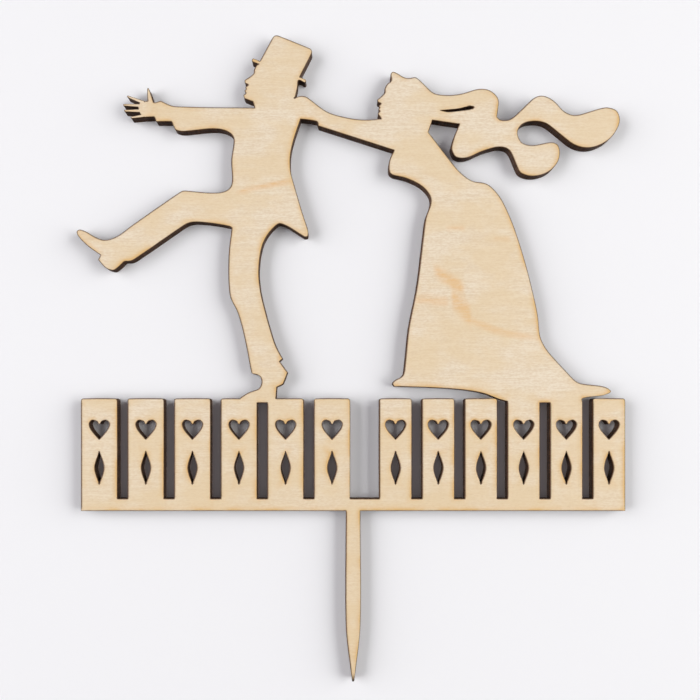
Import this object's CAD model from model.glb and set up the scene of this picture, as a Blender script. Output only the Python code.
import math

import bpy
from mathutils import Matrix, Vector
from mathutils.geometry import delaunay_2d_cdt, interpolate_bezier
from mathutils.kdtree import KDTree


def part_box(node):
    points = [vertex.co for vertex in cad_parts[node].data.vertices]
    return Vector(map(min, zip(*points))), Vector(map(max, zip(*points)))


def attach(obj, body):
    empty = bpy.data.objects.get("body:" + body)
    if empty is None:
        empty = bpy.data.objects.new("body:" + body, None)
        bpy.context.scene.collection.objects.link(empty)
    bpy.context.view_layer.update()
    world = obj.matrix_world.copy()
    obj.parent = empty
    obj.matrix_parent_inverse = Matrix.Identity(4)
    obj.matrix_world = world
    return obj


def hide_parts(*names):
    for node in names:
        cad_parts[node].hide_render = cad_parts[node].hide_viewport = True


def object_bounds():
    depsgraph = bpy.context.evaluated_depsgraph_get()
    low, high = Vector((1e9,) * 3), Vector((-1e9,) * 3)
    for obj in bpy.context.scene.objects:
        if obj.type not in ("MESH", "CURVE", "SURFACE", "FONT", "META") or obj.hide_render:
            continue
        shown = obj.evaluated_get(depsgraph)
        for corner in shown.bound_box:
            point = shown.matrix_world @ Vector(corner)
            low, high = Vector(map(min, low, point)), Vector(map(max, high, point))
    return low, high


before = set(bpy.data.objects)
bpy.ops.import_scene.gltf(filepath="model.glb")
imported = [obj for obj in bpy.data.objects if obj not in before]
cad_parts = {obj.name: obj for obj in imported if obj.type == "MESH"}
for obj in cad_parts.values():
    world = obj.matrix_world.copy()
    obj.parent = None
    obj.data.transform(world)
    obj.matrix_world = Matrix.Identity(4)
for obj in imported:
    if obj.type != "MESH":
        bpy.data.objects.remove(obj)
cad_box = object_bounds()


# Card, lamps and camera
# The topper lies flat on a sheet of white card. A large soft lamp stands low on each side of it,
# so that the card goes dark in the narrow cuts, and the camera looks straight at the face.
MM = 0.001
CARD_SIDE = 4
CARD_GAP = 0.05 * MM
CARD_FADE = (0.14, 0.22)  # how far out the card starts to go over into the pale room, and ends
SENSOR = 36  # millimetres wide
PHOTO_SIDE = 700  # pixels
RAIL_PIXELS = 544.3  # how long the rail is in the photograph
ORIGIN_PIXEL = Vector((353.1, 510.9))  # the middle of the rail's underside
AXIS_PIXEL = Vector((338, 415))  # the point that the camera faces squarely
CAMERA_DISTANCE = 193 * MM
LAMP_DISTANCE = 1.2
LAMP_ANGLE = math.radians(64)  # from the camera's line of sight
LAMP_SIZE = (1.05, 1.3)
LAMP_RISE = 0.08  # how far the lamps' middles lie above the topper's
LAMP_WATTS = {-1: 17.3, 1: 19.5}  # on the left and on the right
LAMP_COLOURS = {-1: (0.995, 0.988, 1), 1: (1, 1, 0.98)}
BACK_LAMP_WATTS = 18.4
TOP_LAMP_DISTANCE = 1.2
TOP_LAMP_SIZE = (0.5, 0.5)
TOP_LAMP_WATTS = 0.4
TOP_LAMP_COLOUR = (1, 0.95, 0.88)
AMBIENT = 0.15


def colour(red, green, blue):
    """A colour from 0 to 255, as it looks on a screen, in the numbers that a shader takes."""
    shares = [value / 255 for value in (red, green, blue)]
    linear = [s / 12.92 if s <= 0.04045 else ((s + 0.055) / 1.055) ** 2.4 for s in shares]
    return (*linear, 1)


CARD_WHITE = colour(245, 245, 247)
ROOM_LIGHT = colour(234, 228, 238)


def add_node(tree, kind, sockets=None, **settings):
    """Adds a shader node with its settings, and gives its sockets a value or a link each."""
    made = tree.nodes.new("ShaderNode" + kind)
    for name, value in settings.items():
        setattr(made, name, value)
    for name, value in (sockets or {}).items():
        if isinstance(value, bpy.types.NodeSocket):
            tree.links.new(value, made.inputs[name])
        else:
            made.inputs[name].default_value = value
    return made.outputs


def new_material(name):
    """A material with an empty node tree, and that tree."""
    material = bpy.data.materials.new(name)
    material.use_nodes = True
    material.node_tree.nodes.clear()
    return material, material.node_tree


def eased(tree, value, start, end, first=0.0, last=1.0):
    """A value eased from first to last as it goes from start to end."""
    sockets = {"Value": value, "From Min": start, "From Max": end, "To Min": first, "To Max": last}
    return add_node(tree, "MapRange", sockets, interpolation_type="SMOOTHSTEP")["Result"]


def worked_out(tree, operation, first, second=0.0, third=0.0):
    """The result of a sum on up to three values."""
    return add_node(tree, "Math", {0: first, 1: second, 2: third}, operation=operation)["Value"]


def card_material():
    """Matt white card, clear far out, and from behind, so that the back of the topper shows."""
    material, tree = new_material("white_card")
    ends = {0: add_node(tree, "TexCoord")["Object"], 1: (middle.x, middle.z, 0)}
    away = add_node(tree, "VectorMath", ends, operation="DISTANCE")["Value"]
    white = add_node(tree, "BsdfDiffuse", {"Color": CARD_WHITE})
    clear = add_node(tree, "BsdfTransparent")
    behind = add_node(tree, "NewGeometry")["Backfacing"]
    gone = worked_out(tree, "MAXIMUM", behind, eased(tree, away, *CARD_FADE))
    shown = add_node(tree, "MixShader", {0: gone, 1: white["BSDF"], 2: clear["BSDF"]})
    add_node(tree, "OutputMaterial", {"Surface": shown["Shader"]})
    return material


face_low, face_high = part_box("face_veneer")
back_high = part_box("back_veneer")[1]
middle = (cad_box[0] + cad_box[1]) / 2

bpy.ops.object.select_all(action="DESELECT")
bpy.ops.mesh.primitive_plane_add(
    size=CARD_SIDE, location=(0, back_high.y + CARD_GAP, 0), rotation=(math.pi / 2, 0, 0)
)
card = bpy.context.object
card.name = "card"
card.data.materials.append(card_material())
card.visible_shadow = False
card.visible_diffuse = False


def add_lamp(name, place, size, watts, tint):
    """A soft lamp that is turned to the middle of the topper."""
    bpy.ops.object.light_add(type="AREA", location=place)
    lamp = bpy.context.object
    lamp.name = name
    lamp.rotation_euler = (middle - lamp.location).to_track_quat("-Z", "Y").to_euler()
    lamp.data.shape = "RECTANGLE"
    lamp.data.size, lamp.data.size_y = size
    lamp.data.energy = watts
    lamp.data.color = tint


reach = LAMP_DISTANCE * math.sin(LAMP_ANGLE)
depth = LAMP_DISTANCE * math.cos(LAMP_ANGLE)
for side, watts in LAMP_WATTS.items():
    before_it = middle + Vector((side * reach, -depth, LAMP_RISE))
    behind_it = middle + Vector((side * reach, depth, LAMP_RISE))
    add_lamp("side_lamp", before_it, LAMP_SIZE, watts, LAMP_COLOURS[side])
    add_lamp("back_lamp", behind_it, LAMP_SIZE, BACK_LAMP_WATTS, LAMP_COLOURS[side])
for side in (-1, 1):
    over_it = middle + Vector((0, side * TOP_LAMP_DISTANCE, 0))
    add_lamp("top_lamp", over_it, TOP_LAMP_SIZE, TOP_LAMP_WATTS, TOP_LAMP_COLOUR)

world = bpy.data.worlds.new("soft_room")
bpy.context.scene.world = world
world.use_nodes = True
sky = world.node_tree
sky.nodes.clear()
room = add_node(sky, "Background", {"Color": ROOM_LIGHT, "Strength": AMBIENT})
pale = add_node(sky, "Background", {"Color": CARD_WHITE, "Strength": 1})
seen = add_node(sky, "LightPath")["Is Camera Ray"]
either = add_node(sky, "MixShader", {0: seen, 1: room["Background"], 2: pale["Background"]})
add_node(sky, "OutputWorld", {"Surface": either["Shader"]})

pixels_per_metre = RAIL_PIXELS / (2 * face_high.x)
axis = (AXIS_PIXEL - ORIGIN_PIXEL) / pixels_per_metre
bpy.ops.object.camera_add(
    location=(axis.x, face_low.y - CAMERA_DISTANCE, -axis.y), rotation=(math.pi / 2, 0, 0)
)
camera = bpy.context.object
camera.data.sensor_width = SENSOR
camera.data.lens = SENSOR * CAMERA_DISTANCE * pixels_per_metre / PHOTO_SIDE
camera.data.shift_x = 0.5 - AXIS_PIXEL.x / PHOTO_SIDE
camera.data.shift_y = AXIS_PIXEL.y / PHOTO_SIDE - 0.5
camera.data.clip_start = MM
bpy.context.scene.camera = camera
bpy.context.scene.view_settings.view_transform = "Standard"


# The cut
# One laser cut shapes the whole topper. It goes straight through every layer, so all of them have
# one outline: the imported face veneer's, with its facets bowed out to the curves that were drawn.
FACING_FRONT = -0.5  # a face whose normal's Y is below this looks to the front
CHORD_BOW = 0.14 * MM  # the most that the turn at one end of a facet bows it out
HANDLE_BOW = 4 / 9  # how far a curve bows out, as a share of how far its handle leans out
CORNER_TURN = math.radians(48)  # a turn like this beside a longer run is a corner
CORNER_RUN = 2 * MM
SHARP_TURN = math.radians(150)  # a turn like this is always a corner
FINE_FACET = 0.8 * MM  # facets shorter than this are small detail, which stays as it was drawn
FAIRING_ROUNDS = 40
FAIRING_PULLS = (0.5, -0.53)  # toward the neighbours and back out, so that curves don't shrink
CUT_STEP = 0.6 * MM
CUT_TURN = math.radians(12)
MERGE = 1e-6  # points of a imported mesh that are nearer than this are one


def select_only(piece):
    """Selects one piece alone, for the operators that come next."""
    bpy.ops.object.select_all(action="DESELECT")
    piece.select_set(True)
    bpy.context.view_layer.objects.active = piece


def trace_of(node):
    """The closed loops round the front of a layer, as points across and up the sheet."""
    trace = bpy.data.objects.new("trace", node.data.copy())
    bpy.context.scene.collection.objects.link(trace)
    select_only(trace)
    bpy.ops.object.mode_set(mode="EDIT")
    bpy.ops.mesh.select_mode(type="FACE")
    bpy.ops.mesh.select_all(action="SELECT")
    bpy.ops.mesh.remove_doubles(threshold=MERGE)
    bpy.ops.object.mode_set(mode="OBJECT")
    for face in trace.data.polygons:
        face.select = face.normal.y > FACING_FRONT
    bpy.ops.object.mode_set(mode="EDIT")
    bpy.ops.mesh.delete(type="FACE")
    bpy.ops.mesh.select_all(action="SELECT")
    bpy.ops.mesh.region_to_loop()
    bpy.ops.mesh.select_all(action="INVERT")
    bpy.ops.mesh.delete(type="EDGE")
    bpy.ops.object.mode_set(mode="OBJECT")
    bpy.ops.object.convert(target="CURVE")
    loops = [[Vector((p.co.x, p.co.z)) for p in spline.points] for spline in trace.data.splines]
    bpy.data.objects.remove(trace)
    return loops


def area_of(loop):
    """A loop's area, negative if it runs clockwise."""
    return sum(a.cross(b) for a, b in zip(loop, loop[1:] + loop[:1])) / 2


def limited(value, low, high):
    """A value kept between two others."""
    return max(low, min(high, value))


def handle_of(facet, angle):
    """A curve's handle at the end of a facet, turned by an angle from it.
    It is a third of the facet, or shorter where the curve would stray too far."""
    length = facet.length / (3 * math.cos(angle / 2) ** 2)
    bow = HANDLE_BOW * abs(math.sin(angle))
    if length * bow > CHORD_BOW:
        length = CHORD_BOW / bow
    return Matrix.Rotation(angle, 2) @ facet.normalized() * length


def faired(curve, fixed):
    """The curve with its kinks eased out between the points that are fixed."""
    for pull in FAIRING_PULLS * FAIRING_ROUNDS:
        middles = [(a + b) / 2 for a, b in zip(curve[-1:] + curve[:-1], curve[1:] + curve[:1])]
        curve = [p if kept else p.lerp(m, pull) for p, m, kept in zip(curve, middles, fixed)]
    return curve


def bowed(loop):
    """The loop with its facets bowed out: each turn is shared by the two facets that meet there."""
    facets = [b - a for a, b in zip(loop, loop[1:] + loop[:1])]
    corners = []
    arriving = []
    leaving = []
    for before, after in zip(facets[-1:] + facets[:-1], facets):
        turn = math.atan2(before.cross(after), before.dot(after))
        lengths = before.length, after.length
        beside_run = abs(turn) > CORNER_TURN and max(lengths) > CORNER_RUN
        corners.append(beside_run or abs(turn) > SHARP_TURN)
        if corners[-1]:
            turn = 0
        arriving.append(turn * lengths[1] / sum(lengths))
        leaving.append(turn * lengths[0] / sum(lengths))
    curve = []
    fixed = []
    for i, facet in enumerate(facets):
        ends = loop[i], loop[i - len(loop) + 1]
        angles = leaving[i], arriving[i - len(loop) + 1]
        handles = ends[0] + handle_of(facet, -angles[0]), ends[1] - handle_of(facet, angles[1])
        steps = max(facet.length / CUT_STEP, (abs(angles[0]) + abs(angles[1])) / CUT_TURN)
        curve += interpolate_bezier(ends[0], *handles, ends[1], math.ceil(steps) + 1)[:-1]
        fine = facet.length < FINE_FACET
        fixed += [corners[i] or fine or facets[i - 1].length < FINE_FACET]
        fixed += [fine] * (len(curve) - len(fixed))
    kept_in = []
    for point in faired(curve, fixed):
        across = limited(point.x, face_low.x, face_high.x)
        up = limited(point.y, face_low.z, face_high.z)
        kept_in.append(Vector((across, up)))
    return kept_in


def inward(loop, distance):
    """A loop's points, each moved into the wood, which lies on the loop's left."""
    moved = []
    for before, here, after in zip(loop[-1:] + loop[:-1], loop, loop[1:] + loop[:1]):
        along = (after - before).normalized()
        moved.append(here + distance * Vector((-along.y, along.x)))
    return moved


traced = sorted(trace_of(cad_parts["face_veneer"]), key=lambda loop: -abs(area_of(loop)))
cut = []
for loop in traced:
    wood_inside = loop is traced[0]
    cut.append(bowed(loop if (area_of(loop) > 0) == wood_inside else loop[::-1]))


# Face veneer
# The veneer that shows: a thin pale sheet peeled from a log and sanded, its grain along the rail.
# The laser has scorched it beside the cut, charred its rim and left its edge black.
RIM = 0.05 * MM  # how far the burn has rounded the rim
RIM_STEPS = 2
HEAT_SPREAD = 0.6 * MM
HEAT_REACH = 3 * HEAT_SPREAD  # from further off, a cut gives no heat worth counting
DRAFT = Vector((0.55, -0.5))  # the smoke blew to the right and down: how much more it scorched there
CHAR_WIDTH = {"left": 0.34, "right": 0.16, "top": 0.25, "under": 0.18}  # mm, by the way the edge faces
CROWDED = 2  # the most that the char thins out between cuts close together
RINGS = {0.15: 1, 0.35: 1, 0.65: 1, 1.0: 2, 1.6: 3, 2.4: 5}  # mm from the cut: one in so many points
RING_CLEARANCE = 0.95  # how near another cut may come to a ring's point, as a share of its distance
OPEN_PITCH = 3 * MM
OPEN_CLEARANCE = OPEN_PITCH / 3  # how far the open grid keeps off the last ring
OUTLINE = 0  # the first loop, round the others
INSIDE = 1  # triangles are made inside the loops only
SAME_POINT = 1e-9  # points that are nearer than this get one corner
BACKWARDS = -1  # a layer gets its thickness behind its front
EDGE_SLOT = 1  # the second material, on the cut edge
SMOOTH_TURN = math.radians(35)

cut_tree = KDTree(sum(len(loop) for loop in cut))
cut_runs = []
cut_facing = []
for loop in cut:
    for here, inside, after in zip(loop, inward(loop, 1), loop[1:] + loop[:1]):
        cut_tree.insert(here.to_3d(), len(cut_runs))
        cut_runs.append((after - here).length)
        cut_facing.append(here - inside)
cut_tree.balance()


def from_cut(point):
    """How far a point is from the cut."""
    return cut_tree.find(point.to_3d())[2]


def heat_at(point):
    """The heat that the cut gave a point: 1 on a straight cut, more between cuts close together.
    The second value is the part that the smoke blew over the wood."""
    heat = 0
    smoke = 0
    for _, index, distance in cut_tree.find_range(point.to_3d(), HEAT_REACH):
        dose = cut_runs[index] * math.exp(-0.5 * (distance / HEAT_SPREAD) ** 2)
        heat += dose
        smoke += dose * (1 + DRAFT.dot(cut_facing[index]))
    whole = HEAT_SPREAD * math.sqrt(2 * math.pi)
    return heat / whole, smoke / whole


def char_at(point, heat):
    """How wide the charred line is here, in millimetres. It is finer on thin fingers."""
    facing = cut_facing[cut_tree.find(point.to_3d())[1]]
    level = CHAR_WIDTH["left" if facing.x < 0 else "right"]
    upright = CHAR_WIDTH["top" if facing.y > 0 else "under"]
    width = level + (upright - level) * abs(facing.y)
    return width / limited(2 * heat - 1, 1, CROWDED)


def inner_points():
    """Points in the veneer: rings beside the cut, then an open grid, all clear of the cut."""
    points = []
    for millimetres, every in RINGS.items():
        distance = millimetres * MM
        for loop in cut:
            ring = inward(loop, distance)[::every]
            points += [p for p in ring if from_cut(p) > RING_CLEARANCE * distance]
    across = math.ceil((face_high.x - face_low.x) / OPEN_PITCH)
    up = math.ceil((face_high.z - face_low.z) / OPEN_PITCH)
    for i in range(across):
        for j in range(up):
            point = Vector((face_low.x + i * OPEN_PITCH, face_low.z + j * OPEN_PITCH))
            if from_cut(point) > max(RINGS) * MM + OPEN_CLEARANCE:
                points.append(point)
    return points


def sheet_front(name, node, loops, points, materials):
    """The front of a layer, cut along the loops, at the depth of its node's front."""
    corners = [p for loop in loops for p in loop]
    rings = []
    for loop in loops:
        start = sum(len(ring) for ring in rings)
        ring = list(range(start, start + len(loop)))
        rings.append(ring if area_of(loop) > 0 else ring[::-1])
    made = delaunay_2d_cdt(corners + points, [], rings, INSIDE, SAME_POINT)
    flat, _, faces, _, _, around = made
    wood = [face for face, inside in zip(faces, around) if inside == [OUTLINE]]
    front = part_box(node)[0].y
    mesh = bpy.data.meshes.new(name)
    mesh.from_pydata([(p.x, front, p.y) for p in flat], [], wood)
    for material in materials:
        mesh.materials.append(material)
    piece = bpy.data.objects.new(name, mesh)
    bpy.context.scene.collection.objects.link(piece)
    select_only(piece)
    bpy.ops.object.mode_set(mode="EDIT")
    bpy.ops.mesh.select_all(action="SELECT")
    bpy.ops.mesh.delete_loose()
    bpy.ops.object.mode_set(mode="OBJECT")
    return piece


def marked_by_cut(piece):
    """Keeps how far each point is from the cut and how wide the char is there, both in millimetres,
    and how much smoke the cut blew over it."""
    points = [Vector((v.co.x, v.co.z)) for v in piece.data.vertices]
    heats = [heat_at(p) for p in points]
    kept = {
        "from_cut": [from_cut(p) / MM for p in points],
        "char_width": [char_at(p, heat) for p, (heat, _) in zip(points, heats)],
        "cut_smoke": [smoke for _, smoke in heats],
    }
    for name, values in kept.items():
        piece.data.attributes.new(name, "FLOAT", "POINT").data.foreach_set("value", values)


def thickened(piece, node):
    """Makes the front of a layer as thick as its node, with the edge's material on its edge."""
    low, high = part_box(node)
    select_only(piece)
    sheet = piece.modifiers.new("sheet", "SOLIDIFY")
    sheet.thickness = high.y - low.y
    sheet.offset = BACKWARDS
    sheet.material_offset_rim = EDGE_SLOT
    bpy.ops.object.modifier_apply(modifier=sheet.name)


def rounded_rim(piece, outer):
    """Rounds the rim of the face that lies at the depth called outer."""
    mesh = piece.data
    edge_faces = [face for face in mesh.polygons if face.material_index == EDGE_SLOT]
    walls = {key for face in edge_faces for key in face.edge_keys}
    select_only(piece)
    bpy.ops.object.mode_set(mode="EDIT")
    bpy.ops.mesh.select_mode(type="EDGE")
    bpy.ops.mesh.select_all(action="DESELECT")
    bpy.ops.object.mode_set(mode="OBJECT")
    for edge in mesh.edges:
        depths = [mesh.vertices[corner].co.y for corner in edge.vertices]
        edge.select = edge.key in walls and max(abs(d - outer) for d in depths) < MERGE
    bpy.ops.object.mode_set(mode="EDIT")
    bpy.ops.mesh.bevel(
        offset=RIM, segments=RIM_STEPS, affect="EDGES", clamp_overlap=False, material=EDGE_SLOT
    )
    bpy.ops.object.mode_set(mode="OBJECT")


def finished(piece, node):
    """Shades a layer and puts it in the place of its node."""
    select_only(piece)
    bpy.ops.object.shade_smooth_by_angle(angle=SMOOTH_TURN)
    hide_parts(node)
    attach(piece, "root")


def new_group(name, inputs, outputs):
    """An effect that materials share: its tree, the values given to it and the results to fill."""
    tree = bpy.data.node_groups.new(name, "ShaderNodeTree")
    for direction, sockets in (("INPUT", inputs), ("OUTPUT", outputs)):
        for socket, kind in sockets.items():
            tree.interface.new_socket(socket, in_out=direction, socket_type="NodeSocket" + kind)
    given = tree.nodes.new("NodeGroupInput").outputs
    result = tree.nodes.new("NodeGroupOutput").inputs
    return tree, given, result


def blended(tree, share, under, over):
    """One colour laid over another. A Mix node has them in sockets 6 and 7, and its result in 2."""
    return add_node(tree, "Mix", {0: share, 6: under, 7: over}, data_type="RGBA")[2]


def noise(tree, vector, cell, detail=2, roughness=0.5):
    """Noise whose cells are so many millimetres across, deep and high."""
    scale = [1 / (side * MM) for side in cell]
    scaled = add_node(tree, "Mapping", {"Vector": vector, "Scale": scale})["Vector"]
    sockets = {"Vector": scaled, "Scale": 1, "Detail": detail, "Roughness": roughness}
    return add_node(tree, "TexNoise", sockets)["Fac"]


# The patterns of the wood, each with its cells in millimetres, and what each adds to the tone.
# Values called a range are a pattern's low and high end, then what those two turn into.
GRAIN = {
    "streaks": {"cell": (14, 5, 0.7)},
    "fibres": {"cell": (4, 5, 0.26), "detail": 3, "roughness": 0.6},
    "flecks": {"cell": (0.8, 5, 0.35), "detail": 1},
    "pores": {"cell": (1.5, 5, 0.14), "detail": 1},
    "warmth": {"cell": (15, 9, 8), "detail": 3, "roughness": 0.55},
}
TONE_SHARES = {"streaks": 0.22, "fibres": 0.42, "flecks": 0.36}
PORE_RANGE = (0.64, 0.76, 0, 1)


def birch_grain():
    """Fibres, flecks and dark pores along the sheet, and broad patches of warmer wood."""
    outputs = {"Fibres": "Float", "Warmth": "Float", "Pores": "Float", "Height": "Float"}
    tree, given, result = new_group("birch_grain", {"Vector": "Vector"}, outputs)
    grown = {name: noise(tree, given["Vector"], **pattern) for name, pattern in GRAIN.items()}
    tone = 0
    for name, share in TONE_SHARES.items():
        tone = worked_out(tree, "MULTIPLY_ADD", grown[name], share, tone)
    pores = eased(tree, grown["pores"], *PORE_RANGE)
    tree.links.new(tone, result["Fibres"])
    tree.links.new(grown["warmth"], result["Warmth"])
    tree.links.new(pores, result["Pores"])
    tree.links.new(worked_out(tree, "SUBTRACT", tone, pores), result["Height"])
    return tree


DRIFT = {"cell": (9, 9, 9), "detail": 3}
DRIFT_RANGE = (0.35, 0.65, 0.3, 1.7)
MOST_SCORCH = 2
RAGGED = {"cell": (0.5, 0.5, 0.3)}
RAGGED_SHARE = 0.5
CHAR_RANGE = (0.3, 1.6, 1, 0)  # from the cut, in widths of the char


def laser_scorch():
    """The golden scorch beside the cut and the charred line on its rim."""
    inputs = {"Vector": "Vector", "Smoke": "Float"}
    tree, given, result = new_group("laser_scorch", inputs, {"Scorch": "Float", "Char": "Float"})
    smoke = add_node(tree, "Attribute", attribute_name="cut_smoke")["Fac"]
    distance = add_node(tree, "Attribute", attribute_name="from_cut")["Fac"]
    width = add_node(tree, "Attribute", attribute_name="char_width")["Fac"]
    drift = eased(tree, noise(tree, given["Vector"], **DRIFT), *DRIFT_RANGE)
    scorch = worked_out(tree, "MULTIPLY", smoke, drift)
    scorch = worked_out(tree, "MULTIPLY", scorch, given["Smoke"])
    ragged = noise(tree, given["Vector"], **RAGGED)
    line = worked_out(tree, "DIVIDE", distance, width)
    line = worked_out(tree, "SUBTRACT", line, RAGGED_SHARE / 2)
    line = worked_out(tree, "MULTIPLY_ADD", ragged, RAGGED_SHARE, line)
    tree.links.new(worked_out(tree, "MINIMUM", scorch, MOST_SCORCH), result["Scorch"])
    tree.links.new(eased(tree, line, *CHAR_RANGE), result["Char"])
    return tree


WAVER = {"cell": (4, 3, 1), "detail": 3}
WAVER_WIDTH = 1.2 * MM
BREAKS = {"cell": (4, 3, 0.7)}
BREAK_RANGE = (0.35, 0.6, 0.65, 1)
MARK_SIDE_RANGE = (0, 1, 1, 0)  # from the middle of a mark, in half widths
MARK_END_RANGE = (0.55, 1, 1, 0)  # from the middle of a mark, in half lengths


def figure_mark():
    """A brown mark in the figure of the veneer: a bent line with soft, broken sides and ends."""
    sizes = ["Across", "Up", "Slope", "Bend", "Half Length", "Half Width"]
    inputs = {"Vector": "Vector"} | {size: "Float" for size in sizes}
    tree, given, result = new_group("figure_mark", inputs, {"Mark": "Float"})
    place = add_node(tree, "SeparateXYZ", {0: given["Vector"]})
    along = worked_out(tree, "SUBTRACT", place["X"], given["Across"])
    rise = worked_out(tree, "MULTIPLY_ADD", along, given["Bend"], given["Slope"])
    line = worked_out(tree, "MULTIPLY_ADD", along, rise, given["Up"])
    waver = noise(tree, given["Vector"], **WAVER)
    waver = worked_out(tree, "MULTIPLY_ADD", waver, WAVER_WIDTH, -WAVER_WIDTH / 2)
    line = worked_out(tree, "ADD", line, waver)
    off = worked_out(tree, "ABSOLUTE", worked_out(tree, "SUBTRACT", place["Z"], line))
    off = worked_out(tree, "DIVIDE", off, given["Half Width"])
    far = worked_out(tree, "DIVIDE", worked_out(tree, "ABSOLUTE", along), given["Half Length"])
    broken = eased(tree, noise(tree, given["Vector"], **BREAKS), *BREAK_RANGE)
    lengthwise = worked_out(tree, "MULTIPLY", eased(tree, far, *MARK_END_RANGE), broken)
    mark = worked_out(tree, "MULTIPLY", eased(tree, off, *MARK_SIDE_RANGE), lengthwise)
    tree.links.new(mark, result["Mark"])
    return tree


STRIPES = {"cell": (0.22, 12, 0.22), "roughness": 0.6}
SOOT = {"cell": (2.5, 1.2, 2.5)}


def cut_marks():
    """Fine stripes that the beam left straight through the sheet, and patches of soot."""
    outputs = {"Stripes": "Float", "Soot": "Float"}
    tree, given, result = new_group("cut_marks", {"Vector": "Vector"}, outputs)
    tree.links.new(noise(tree, given["Vector"], **STRIPES), result["Stripes"])
    tree.links.new(noise(tree, given["Vector"], **SOOT), result["Soot"])
    return tree


grain_group = birch_grain()
scorch_group = laser_scorch()
figure_group = figure_mark()
marks_group = cut_marks()

PALE_WOOD = colour(239, 225, 203)
DEEP_WOOD = colour(225, 204, 174)
TONE_RANGE = (0.35, 0.65, 0, 1)
WARM_WOOD = colour(229, 204, 163)
WARM_RANGE = (0.38, 0.62, 0, 0.6)
LOW_WARM_RANGE = (35 * MM, -15 * MM, 0, 0.45)  # the sheet goes warmer toward its foot
PORE = colour(205, 171, 130)
PORE_SHARE = 0.35
FIGURE = colour(229, 180, 113)
SCORCHED = colour(222, 178, 108)
SCORCH_SHARE = 0.4
CHARRED = colour(92, 60, 38)
BURNT_TIP = colour(56, 44, 38)
TIP_BURN = 2.6 * MM  # how far up the stake its tip is burnt
GRAIN_RELIEF = {"Strength": 0.25, "Distance": 0.02 * MM}
SANDED_RANGE = (0.3, 0.7, 0.58, 0.7)  # how rough the fibres are

# Marks in the figure of the face: middle across and up, half length and half width in millimetres,
# with the slope at the middle, the bend per metre and how deep the colour is.
FACE_FIGURE = [
    {"at": (-24.2, 89.5), "half": (9, 1.4), "slope": 0.2, "bend": 0, "depth": 0.6},
    {"at": (26.5, 63.8), "half": (5, 3), "slope": -0.6, "bend": 0, "depth": 0.7},
    {"at": (29.8, 56.4), "half": (3.4, 5), "slope": -1, "bend": 0, "depth": 0.6},
    {"at": (41, 49.4), "half": (12, 1.8), "slope": -0.27, "bend": 9, "depth": 0.42},
    {"at": (21.7, 58), "half": (6, 2.4), "slope": -0.1, "bend": 0, "depth": 0.45},
    {"at": (28.2, 78), "half": (3.2, 1.4), "slope": 0, "bend": 0, "depth": 0.35},
    {"at": (41, 75), "half": (3, 1.4), "slope": 0, "bend": 0, "depth": 0.2},
]
FACE_SMOKE = 1  # how strongly the smoke has browned it


def veneer_material(name, figure, smoke):
    """A sanded birch face with its grain, its figure and the laser's burn."""
    material, tree = new_material(name)
    where = add_node(tree, "TexCoord")["Object"]
    height = add_node(tree, "SeparateXYZ", {0: where})["Z"]
    grain = add_node(tree, "Group", {"Vector": where}, node_tree=grain_group)
    burn = add_node(tree, "Group", {"Vector": where, "Smoke": smoke}, node_tree=scorch_group)
    wood = blended(tree, eased(tree, grain["Fibres"], *TONE_RANGE), PALE_WOOD, DEEP_WOOD)
    wood = blended(tree, eased(tree, grain["Warmth"], *WARM_RANGE), wood, WARM_WOOD)
    wood = blended(tree, eased(tree, height, *LOW_WARM_RANGE), wood, WARM_WOOD)
    wood = blended(tree, worked_out(tree, "MULTIPLY", grain["Pores"], PORE_SHARE), wood, PORE)
    for mark in figure:
        sockets = {
            "Vector": where,
            "Across": mark["at"][0] * MM,
            "Up": mark["at"][1] * MM,
            "Slope": mark["slope"],
            "Bend": mark["bend"],
            "Half Length": mark["half"][0] * MM,
            "Half Width": mark["half"][1] * MM,
        }
        shown = add_node(tree, "Group", sockets, node_tree=figure_group)["Mark"]
        wood = blended(tree, worked_out(tree, "MULTIPLY", shown, mark["depth"]), wood, FIGURE)
    scorch = worked_out(tree, "MULTIPLY", burn["Scorch"], SCORCH_SHARE)
    wood = blended(tree, scorch, wood, SCORCHED)
    wood = blended(tree, burn["Char"], wood, CHARRED)
    tip = eased(tree, height, face_low.z, face_low.z + TIP_BURN, 1, 0)
    wood = blended(tree, tip, wood, BURNT_TIP)
    bump = add_node(tree, "Bump", {"Height": grain["Height"]} | GRAIN_RELIEF)
    rough = eased(tree, grain["Fibres"], *SANDED_RANGE)
    surface = {"Base Color": wood, "Roughness": rough, "Normal": bump["Normal"]}
    shaded = add_node(tree, "BsdfPrincipled", surface)
    add_node(tree, "OutputMaterial", {"Surface": shaded["BSDF"]})
    return material


STRIPE_RANGE = (0.3, 0.7, 0, 1)
SOOT_RANGE = (0.45, 0.75, 0, 0.6)
STRIPE_RELIEF = {"Strength": 0.4, "Distance": 0.04 * MM}
CHAR_ROUGH_RANGE = (0.3, 0.7, 0.6, 0.85)  # soot makes the char rougher
CHAR_SHINE = 0.08
FACE_CHAR = {"brown": colour(88, 60, 36), "black": colour(40, 25, 15)}


def edge_material(name, brown, black):
    """The charred edge that the cut left."""
    material, tree = new_material(name)
    where = add_node(tree, "TexCoord")["Object"]
    marks = add_node(tree, "Group", {"Vector": where}, node_tree=marks_group)
    burnt = blended(tree, eased(tree, marks["Stripes"], *STRIPE_RANGE), black, brown)
    burnt = blended(tree, eased(tree, marks["Soot"], *SOOT_RANGE), burnt, black)
    bump = add_node(tree, "Bump", {"Height": marks["Stripes"]} | STRIPE_RELIEF)
    rough = eased(tree, marks["Soot"], *CHAR_ROUGH_RANGE)
    surface = {"Base Color": burnt, "Roughness": rough, "Normal": bump["Normal"]}
    surface["Specular IOR Level"] = CHAR_SHINE
    shaded = add_node(tree, "BsdfPrincipled", surface)
    add_node(tree, "OutputMaterial", {"Surface": shaded["BSDF"]})
    return material


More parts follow.
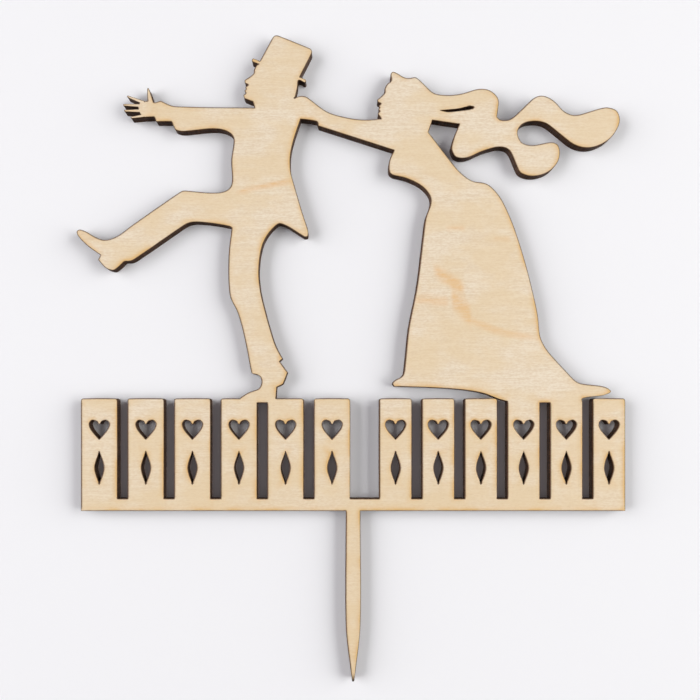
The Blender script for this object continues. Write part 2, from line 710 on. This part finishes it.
face_edge = edge_material("charred_face_edge", **FACE_CHAR)
face_finish = [veneer_material("sanded_birch", FACE_FIGURE, FACE_SMOKE), face_edge]
veneer_points = inner_points()
face_veneer = sheet_front("sanded_face", "face_veneer", cut, veneer_points, face_finish)
marked_by_cut(face_veneer)
thickened(face_veneer, "face_veneer")
rounded_rim(face_veneer, face_low.y)
finished(face_veneer, "face_veneer")


# Front glue line
# The film of glue that holds the face veneer to the core. The beam has burnt it back a little
# further than the wood, so it shows as a fine black line round the edge.
GLUE_SET_BACK = 0.06 * MM
GLUE_CHAR = {"brown": colour(24, 16, 13), "black": colour(10, 8, 7)}
glue_edge = edge_material("burnt_glue", **GLUE_CHAR)
glue_cut = [inward(loop, GLUE_SET_BACK) for loop in cut]
front_glue_line = sheet_front("front_glue", "front_glue_line", glue_cut, [], [glue_edge])
thickened(front_glue_line, "front_glue_line")
finished(front_glue_line, "front_glue_line")


# Core veneer
# The thick middle veneer, laid with its grain across that of the faces, so the cut shows more end
# grain. It is charred a shade darker than the face and burnt back a hair.
CORE_SET_BACK = 0.03 * MM
CORE_CHAR = {"brown": colour(72, 51, 40), "black": colour(32, 22, 17)}
core_edge = edge_material("charred_core_edge", **CORE_CHAR)
core_cut = [inward(loop, CORE_SET_BACK) for loop in cut]
core_veneer = sheet_front("core_sheet", "core_veneer", core_cut, [], [core_edge])
thickened(core_veneer, "core_veneer")
finished(core_veneer, "core_veneer")


# Back glue line
# The same film of glue between the core and the back veneer.
# It is burnt back in the same way.
back_glue_line = sheet_front("back_glue", "back_glue_line", glue_cut, [], [glue_edge])
thickened(back_glue_line, "back_glue_line")
finished(back_glue_line, "back_glue_line")


# Back veneer
# The veneer on the back, of the same birch as the face and sanded like it. It lay on the laser's
# bed, so the smoke that the beam blew through the cut has browned it more and blackened its edge.
BACK_SMOKE = 1.3
BACK_CHAR = {"brown": colour(64, 45, 36), "black": colour(27, 18, 15)}
back_edge = edge_material("charred_back_edge", **BACK_CHAR)
back_finish = [veneer_material("smoked_birch", [], BACK_SMOKE), back_edge]
back_veneer = sheet_front("sanded_back", "back_veneer", cut, veneer_points, back_finish)
marked_by_cut(back_veneer)
thickened(back_veneer, "back_veneer")
rounded_rim(back_veneer, back_high.y)
finished(back_veneer, "back_veneer")
